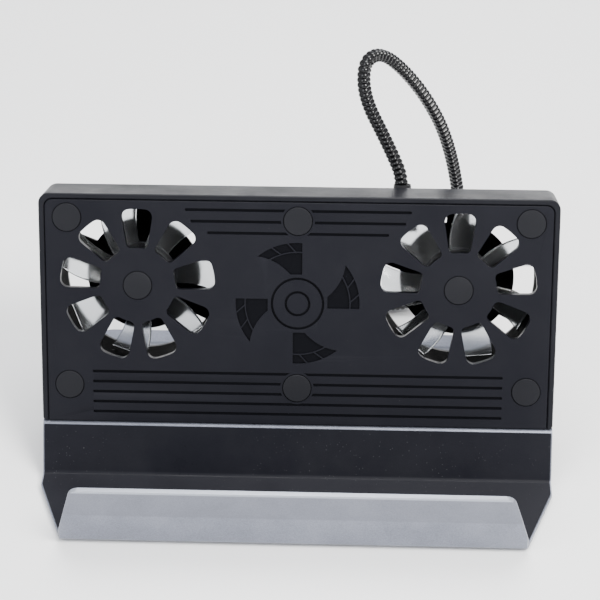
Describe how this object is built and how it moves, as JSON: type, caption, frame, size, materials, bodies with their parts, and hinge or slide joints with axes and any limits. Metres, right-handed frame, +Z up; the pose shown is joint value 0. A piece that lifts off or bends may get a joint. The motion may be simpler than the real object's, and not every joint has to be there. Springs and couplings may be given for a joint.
{
  "type": "laptop cooling stand",
  "caption": "Tilted black fan body with round grilles, on a bent silver tray with a rubber-lined lip and a folding rear leg, with a braided USB lead.",
  "frame": {"origin": "on the table, at the middle of the footprint of the stand, left and right and front to back, without the lead", "axes": "+X to the right along the fan body, +Y to the back, +Z up; the tray's lip is at -Y"},
  "size_m": [0.22, 0.1638, 0.1514],
  "materials": {
    "body_plastic": "satin black",
    "plate_plastic": "satin black",
    "fan_plastic": "satin black",
    "blade_plastic": "frosted clear",
    "grip_rubber": "matte",
    "liner_rubber": "satin",
    "silver_metal": "satin silver",
    "screw_steel": "satin",
    "bracket_steel": "satin",
    "core_steel": "satin",
    "magnet": "matte",
    "bush_brass": "satin",
    "copper": "lacquered",
    "circuit_board": "solder mask",
    "washer_plastic": "natural",
    "wire_cover": "satin black",
    "gland_rubber": "matte",
    "cord_braid": "braided",
    "plug_rubber": "matte black",
    "plug_metal": "bright",
    "plug_insert": "white",
    "contact_gold": "bright"
  },
  "bodies": {
    "stand": {"rear_shell": "body_plastic", "face_plate": "plate_plastic", "left_fan_frame": "fan_plastic", "right_fan_frame": "fan_plastic", "grip_pads": "grip_rubber", "hub_pads": "grip_rubber", "tray_feet": "grip_rubber", "tray_liner": "liner_rubber", "tray_plate": "silver_metal", "face_screws": "screw_steel", "fan_screws": "screw_steel", "board_screws": "screw_steel", "tray_screws": "screw_steel", "bracket_screws": "screw_steel", "left_hinge_bracket": "bracket_steel", "right_hinge_bracket": "bracket_steel", "left_stator_core": "core_steel", "right_stator_core": "core_steel", "left_bearing_bush": "bush_brass", "right_bearing_bush": "bush_brass", "left_windings": "copper", "right_windings": "copper", "left_motor_board": "circuit_board", "right_motor_board": "circuit_board", "junction_board": "circuit_board", "left_fan_lead": "wire_cover", "right_fan_lead": "wire_cover", "cord_gland": "gland_rubber", "strain_relief": "gland_rubber", "usb_cord": "cord_braid", "plug_body": "plug_rubber", "plug_shell": "plug_metal", "plug_tongue": "plug_insert", "plug_contacts": "contact_gold"},
    "left_rotor": {"left_impeller": "blade_plastic", "left_yoke_ring": "core_steel", "left_magnet_ring": "magnet", "left_fan_shaft": "screw_steel"},
    "right_rotor": {"right_impeller": "blade_plastic", "right_yoke_ring": "core_steel", "right_magnet_ring": "magnet", "right_fan_shaft": "screw_steel"},
    "leg": {"leg_plate": "silver_metal", "leg_pads": "grip_rubber", "leg_washers": "washer_plastic", "left_hinge_pin": "screw_steel", "right_hinge_pin": "screw_steel"}
  },
  "joints": [
    {"name": "left_fan_spin", "type": "hinge", "parent": "stand", "child": "left_rotor", "pos_m": [-0.0682, 0.02506, 0.06997], "axis": [0, -0.8829, 0.4695], "continuous": true},
    {"name": "right_fan_spin", "type": "hinge", "parent": "stand", "child": "right_rotor", "pos_m": [0.0682, 0.02506, 0.06997], "axis": [0, -0.8829, 0.4695], "continuous": true},
    {"name": "leg_fold", "type": "hinge", "parent": "stand", "child": "leg", "pos_m": [0, 0.0236, 0.0225], "axis": [1, 0, 0], "range_deg": [-86, 0]}
  ]
}
